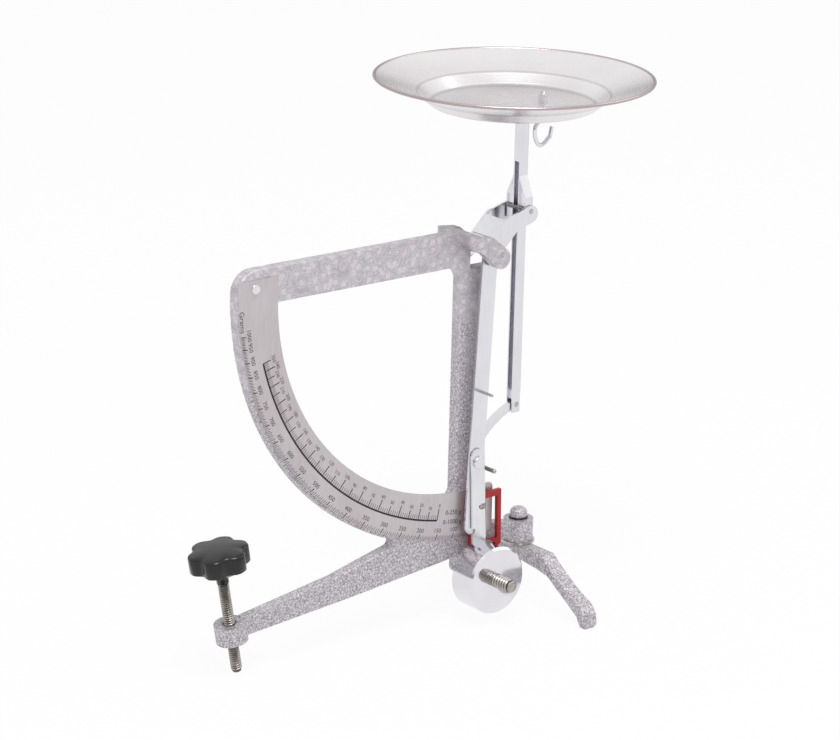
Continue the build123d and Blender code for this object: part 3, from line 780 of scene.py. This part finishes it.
class BALANCE_OT_dial(bpy.types.Operator):
    """Prints both ranges on the dial"""

    bl_idname = "balance.dial"
    bl_label = "Dial"

    def execute(self, context):
        dial = context.scene.balance_dial
        ink = printed_ink(dial)
        marks = bmesh.new()
        for load in range(0, 1001, 5):
            width = dial.bold_line if load % 50 == 0 else dial.fine_line
            inner = by_step(load, HIGH_INNER)
            add_mark(marks, high_angle(load), inner, HIGH_OUTER * MM, width, HIGH_LEAN)
        for load in range(0, 251, 2):
            width = dial.bold_line if load % 10 == 0 else dial.fine_line
            add_mark(marks, low_angle(load), by_step(load, LOW_INNER), LOW_OUTER * MM, width)
        add_arc(marks, low_angle(0), low_angle(250), LOW_OUTER * MM, dial.heavy_arc, steps=96)
        bmesh.ops.recalc_face_normals(marks, faces=marks.faces)
        finish_object(marks, "dial_marks", [ink], "frame")
        words = bmesh.new()
        for load in range(50, 1001, 50):
            add_words(words, str(load), high_angle(load), HIGH_FIGURES * MM, dial.figure_height)
        for load in range(0, 251, 10):
            radius = by_step(load, LOW_FIGURES)
            add_words(words, str(load), low_angle(load), radius, dial.low_figure_height)
        for text, angle, radius, height in WORDS:
            add_words(words, text, math.radians(angle), radius * MM, height * MM)
        finish_object(words, "dial_figures", [ink], "frame")
        return {"FINISHED"}


def add_rod(mesh, tip, along, reach, radius, chamfer):
    """Closed round rod from its tip, with the tip's edge taken off. Its ends take the second
    material."""
    turn = along.to_track_quat("Z", "Y").to_matrix().to_4x4()
    place = Matrix.Translation(tip + along * reach / 2) @ turn
    made = bmesh.ops.create_cone(
        mesh, cap_ends=True, segments=32, radius1=radius, radius2=radius, depth=reach, matrix=place
    )
    rim = [
        edge
        for edge in mesh.edges
        if all(v in made["verts"] and (v.co - tip).dot(along) < reach / 2 for v in edge.verts)
    ]
    bmesh.ops.bevel(
        mesh, geom=rim, offset=chamfer, segments=3, affect="EDGES", profile=0.5, material=-1
    )
    for face in mesh.faces:
        face.normal_update()
        if abs(face.normal.dot(along)) > 0.3:
            face.material_index = 1


def add_thread(mesh, start, along, reach, root, crest, pitch):
    """Closed ridge wound round a rod, spun from one triangle that climbs a pitch in each turn. It
    takes the second material."""
    side = along.orthogonal().normalized()
    # The ridge's foot lies this far inside the rod
    sunk = 0.1 * MM
    corners = [
        mesh.verts.new(start + side * out + along * up)
        for out, up in ((root - sunk, -0.45 * pitch), (crest, 0), (root - sunk, 0.45 * pitch))
    ]
    edges = [mesh.edges.new((corners[i], corners[i - 1])) for i in range(3)]
    turns = int(reach / pitch)
    steps = 24
    made = bmesh.ops.spin(
        mesh,
        geom=corners + edges,
        cent=start,
        axis=along,
        dvec=along * pitch / steps,
        angle=2 * math.pi * turns,
        steps=steps * turns,
        use_merge=False,
    )
    ends = edges + [item for item in made["geom_last"] if isinstance(item, bmesh.types.BMEdge)]
    bmesh.ops.holes_fill(mesh, edges=ends, sides=3)
    for face in mesh.faces:
        if any((v.co - start).cross(along).length > root + sunk for v in face.verts):
            face.material_index = 1


def threaded_rod(tip, along, reach, crest, pitch, depth, chamfer, start, run):
    """Rod whose thread is this deep, starts this far from the tip and runs this far."""
    mesh = bmesh.new()
    root = crest - depth
    add_rod(mesh, tip, along, reach, root, chamfer)
    add_thread(mesh, tip + along * start, along, run, root, crest, pitch)
    bmesh.ops.recalc_face_normals(mesh, faces=mesh.faces)
    return mesh


def screw_line(thread):
    """Tip of the levelling screw, its direction upwards and its length. A leaning rod's box is wider
    than the rod by its length's lean and taller by its end faces."""
    low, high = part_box("levelling_screw")
    travel = next(joint for joint in frame["joints"] if joint["name"] == "screw_travel")
    lean = Vector(travel["axis"]).normalized()
    reach = (high.z - low.z - thread.screw_d * abs(lean.x)) / lean.z
    return (low + high) / 2 - lean * reach / 2, lean, reach


class BALANCE_OT_threads(bpy.types.Operator):
    """Cuts the threads of the levelling screw and the trim stud"""

    bl_idname = "balance.threads"
    bl_label = "Threads"

    def execute(self, context):
        thread = context.scene.balance_thread
        finish = context.scene.balance_finish
        # Painted shade: the rod and the roots of the threads take this darker steel for the shade
        # between the ridges, while the ridges and ends take the worn steel
        root_shade = turned_steel("thread_root_shade_steel", finish.thread_root, roughness=0.4, rust=0.3)
        steels = [root_shade, bpy.data.materials["worn_steel"]]
        # The real pitches are too fine to show, so both are drawn wider
        tip, lean, reach = screw_line(thread)
        screw = threaded_rod(
            tip,
            lean,
            reach,
            crest=thread.screw_d / 2,
            pitch=thread.screw_pitch,
            depth=thread.screw_pitch * 0.45,
            chamfer=0.9 * MM,
            start=1.6 * MM,
            run=reach - 5 * MM,
        )
        piece = finish_object(screw, "levelling_screw_thread", steels, "screw")
        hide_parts("levelling_screw")
        low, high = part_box("trim_stud")
        stud = threaded_rod(
            Vector(((low.x + high.x) / 2, low.y, (low.z + high.z) / 2)),
            Vector((0, 1, 0)),
            high.y - low.y,
            crest=(high.x - low.x) / 2,
            pitch=thread.stud_pitch,
            depth=thread.stud_pitch * 0.3,
            chamfer=1.3 * MM,
            start=1.4 * MM,
            run=14 * MM,
        )
        piece = finish_object(stud, "trim_stud_thread", steels, "weight")
        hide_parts("trim_stud")
        return {"FINISHED"}


class BALANCE_OT_knob(bpy.types.Operator):
    """Moulds the star knob"""

    bl_idname = "balance.knob"
    bl_label = "Knob"

    def execute(self, context):
        shape = context.scene.balance_knob
        tip, lean, _ = screw_line(context.scene.balance_thread)
        low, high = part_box("star_knob")
        # Foot and top of the CAD knob along the screw, from the lowest and highest points of its box
        foot = (low.z - tip.z + COLLAR_R * abs(lean.x)) / lean.z
        top = (high.z - tip.z - shape.radius * abs(lean.x)) / lean.z
        body = top - foot + KNOB_RAISED
        knob = bmesh.new()
        made = bmesh.ops.create_circle(knob, cap_ends=False, segments=168, radius=shape.radius)
        for vert in made["verts"]:
            around = math.atan2(vert.co.y, vert.co.x) - NOTCH_ANGLE
            hollow = (0.5 + 0.5 * math.cos(shape.lobes * around)) ** NOTCH_POWER
            vert.co *= 1 - hollow * shape.notch_depth / shape.radius
        ring = list(knob.edges)
        edge_height, edge_share = KNOB_EDGE
        for vert in made["verts"]:
            vert.co.z = body + edge_height * MM
            vert.co.xy *= edge_share
        neck_height, neck_share = NECK_END
        up, down = (
            [(body + height * MM, share, roundness) for height, share, roundness in rows]
            for rows in (KNOB_UP, KNOB_DOWN)
        )
        for rows in (up, down + [(neck_height, neck_share, 1.0)]):
            edges = ring
            last = edge_share
            for height, share, roundness in rows:
                grown = bmesh.ops.extrude_edge_only(knob, edges=edges)["geom"]
                edges = [item for item in grown if isinstance(item, bmesh.types.BMEdge)]
                edges = [edge for edge in edges if all(v in grown for v in edge.verts)]
                verts = {v for edge in edges for v in edge.verts}
                for vert in verts:
                    flat = vert.co.xy * share / last
                    even = flat.normalized() * shape.radius * share
                    vert.co.xy = flat.lerp(even, roundness)
                    vert.co.z = height
                last = share
            bmesh.ops.holes_fill(knob, edges=edges, sides=0)
        bmesh.ops.recalc_face_normals(knob, faces=knob.faces)
        turn = Matrix.Rotation(math.atan2(lean.x, lean.z), 4, "Y")
        place = Matrix.Translation(tip + lean * foot) @ turn
        bmesh.ops.transform(knob, matrix=place, verts=knob.verts)
        black = bpy.data.materials["black_phenolic"]
        piece = finish_object(knob, "lobed_knob", [black], "knob", smooth=True)
        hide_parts("star_knob")
        return {"FINISHED"}


class BALANCE_OT_ring(bpy.types.Operator):
    """Moulds a thin black ring under the swivel rivet, which is painted shade for the dark gap under
    its dome
    """

    bl_idname = "balance.ring"
    bl_label = "Ring"

    def execute(self, context):
        low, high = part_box("swivel_ring")
        middle = (low + high) / 2
        # The ring is this thick from its centre line, which lies this far inside the CAD ring's edge
        thick, inset = 0.45 * MM, 1.3 * MM
        reach = (high.x - low.x) / 2 - inset
        ring = bmesh.new()
        bmesh.ops.create_circle(ring, cap_ends=False, segments=8, radius=thick)
        stand = Matrix.Rotation(math.pi / 2, 4, "X")
        place = Matrix.Translation((middle.x + reach, middle.y, low.z + thick)) @ stand
        bmesh.ops.transform(ring, matrix=place, verts=ring.verts)
        bmesh.ops.spin(
            ring,
            geom=list(ring.verts) + list(ring.edges),
            cent=middle,
            axis=(0, 0, 1),
            angle=2 * math.pi,
            steps=64,
            use_merge=True,
        )
        bmesh.ops.recalc_face_normals(ring, faces=ring.faces)
        # Painted shade: the ring is black to draw the dark gap under the rivet's dome
        black = bpy.data.materials["black_phenolic"]
        piece = finish_object(ring, "swivel_gap_shade_ring", [black], "frame", smooth=True)
        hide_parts("swivel_ring")
        return {"FINISHED"}


def seen_by_camera(tree):
    """Light Path node, and 1 for what the camera sees itself or through something clear."""
    path = add_node(tree, "ShaderNodeLightPath")
    seen = add_node(
        tree,
        "ShaderNodeMath",
        {"operation": "MAXIMUM"},
        {0: (path, "Is Camera Ray"), 1: (path, "Is Transmission Ray")},
    )
    return path, seen


def lay_floor(scene, stage):
    """Matt paper that the camera and the metal see as white, with a trace of the object's shadow."""
    mesh = bmesh.new()
    bmesh.ops.create_grid(mesh, x_segments=1, y_segments=1, size=30)
    data = bpy.data.meshes.new("floor")
    mesh.to_mesh(data)
    mesh.free()
    floor = bpy.data.objects.new("floor", data)
    scene.collection.objects.link(floor)
    paper, tree, shader = new_material(
        "floor_paper", {"Base Color": tuple(stage.floor), "Roughness": 0.9}
    )
    white = add_node(tree, "ShaderNodeEmission", {"Color": grey(1.0), "Strength": 1.0})
    path, seen = seen_by_camera(tree)
    shown = add_node(
        tree,
        "ShaderNodeMath",
        {"operation": "MAXIMUM"},
        {0: (seen, "Value"), 1: (path, "Is Glossy Ray")},
    )
    share = add_node(
        tree,
        "ShaderNodeMath",
        {"operation": "MULTIPLY", 1: stage.white_share},
        {0: (shown, "Value")},
    )
    both = add_node(
        tree,
        "ShaderNodeMixShader",
        links={0: (share, "Value"), 1: (shader, "BSDF"), 2: (white, "Emission")},
    )
    tree.links.new(both.outputs["Shader"], tree.nodes["Material Output"].inputs["Surface"])
    data.materials.append(paper)


def light_room(scene, stage):
    """Even light that the camera sees as white. In the metal, the white room has a soft grey band
    above the floor's edge."""
    world = bpy.data.worlds.new("studio")
    scene.world = world
    world.use_nodes = True
    tree = world.node_tree
    tree.nodes.clear()
    path, seen = seen_by_camera(tree)
    place = add_node(tree, "ShaderNodeTexCoord")
    parts = add_node(tree, "ShaderNodeSeparateXYZ", links={"Vector": (place, "Generated")})
    room = add_node(
        tree,
        "ShaderNodeValToRGB",
        links={"Fac": (parts, "Z")},
        stops=[
            (0.0, grey(0.9)),
            (0.05, grey(0.4)),
            (0.13, grey(0.3)),
            (0.22, grey(0.7)),
            (0.34, grey(0.95)),
            (0.6, grey(1.0)),
        ],
    )
    even = add_node(
        tree, "ShaderNodeBackground", {"Color": grey(1.0), "Strength": stage.world_level}
    )
    mirrored = add_node(
        tree, "ShaderNodeBackground", {"Strength": 1.0}, {"Color": (room, "Color")}
    )
    white = add_node(tree, "ShaderNodeBackground", {"Color": grey(1.0), "Strength": 1.0})
    unseen = add_node(
        tree,
        "ShaderNodeMixShader",
        links={0: (path, "Is Glossy Ray"), 1: (even, "Background"), 2: (mirrored, "Background")},
    )
    both = add_node(
        tree,
        "ShaderNodeMixShader",
        links={0: (seen, "Value"), 1: (unseen, "Shader"), 2: (white, "Background")},
    )
    add_node(tree, "ShaderNodeOutputWorld", links={"Surface": (both, "Shader")})


def hang_lamps(scene, stage):
    """Two large soft lamps, the brighter one near the camera."""
    for name, place, energy, size in (
        ("key_lamp", Vector((-0.55, -0.75, 2.3)), stage.key_power, 1.2),
        ("fill_lamp", Vector((1.6, -0.6, 1.3)), stage.fill_power, 1.4),
    ):
        lamp = bpy.data.lights.new(name, "AREA")
        lamp.energy = energy
        lamp.size = size
        holder = bpy.data.objects.new(name, lamp)
        holder.location = place
        holder.rotation_euler = (LAMP_AIM - place).to_track_quat("-Z", "Y").to_euler()
        scene.collection.objects.link(holder)


def set_camera(scene):
    """Camera at the photograph's place."""
    lens = bpy.data.cameras.new("camera")
    lens.sensor_width = 36.0
    lens.lens = 150.0
    lens.clip_end = 100.0
    camera = bpy.data.objects.new("camera", lens)
    look = (CAMERA_AIM - CAMERA_AT).to_track_quat("-Z", "Y").to_matrix().to_4x4()
    roll = Matrix.Rotation(CAMERA_ROLL, 4, "Z")
    camera.matrix_world = Matrix.Translation(CAMERA_AT) @ look @ roll
    scene.collection.objects.link(camera)
    scene.camera = camera


class BALANCE_OT_stage(bpy.types.Operator):
    """Floor, world, lamps and camera"""

    bl_idname = "balance.stage"
    bl_label = "Stage"

    def execute(self, context):
        scene = context.scene
        lay_floor(scene, scene.balance_stage)
        light_room(scene, scene.balance_stage)
        hang_lamps(scene, scene.balance_stage)
        set_camera(scene)
        scene.view_settings.view_transform = "Standard"
        return {"FINISHED"}


STEPS = (
    BALANCE_OT_finishes,
    BALANCE_OT_dial,
    BALANCE_OT_threads,
    BALANCE_OT_knob,
    BALANCE_OT_ring,
    BALANCE_OT_stage,
)
GROUPS = {
    "balance_dial": BalanceDial,
    "balance_finish": BalanceFinish,
    "balance_thread": BalanceThread,
    "balance_knob": BalanceKnob,
    "balance_stage": BalanceStage,
}


class BALANCE_PT_panel(bpy.types.Panel):
    """Lists the steps that dress the balance"""

    bl_label = "Lever balance"
    bl_idname = "BALANCE_PT_panel"
    bl_space_type = "VIEW_3D"
    bl_region_type = "UI"
    bl_category = "Balance"

    def draw(self, context):
        for step in STEPS:
            self.layout.operator(step.bl_idname)
        for group in GROUPS:
            settings = getattr(context.scene, group)
            column = self.layout.column()
            for name in settings.bl_rna.properties.keys():
                if name not in ("rna_type", "name"):
                    column.prop(settings, name)


def register():
    for item in (*GROUPS.values(), *STEPS, BALANCE_PT_panel):
        bpy.utils.register_class(item)
    for name, group in GROUPS.items():
        setattr(bpy.types.Scene, name, bpy.props.PointerProperty(type=group))


def unregister():
    for name in GROUPS:
        delattr(bpy.types.Scene, name)
    for item in reversed((*GROUPS.values(), *STEPS, BALANCE_PT_panel)):
        bpy.utils.unregister_class(item)


def main():
    register()
    bpy.ops.balance.finishes()
    bpy.ops.balance.dial()
    bpy.ops.balance.threads()
    bpy.ops.balance.knob()
    bpy.ops.balance.ring()
    bpy.ops.balance.stage()


if __name__ == "__main__":
    main()
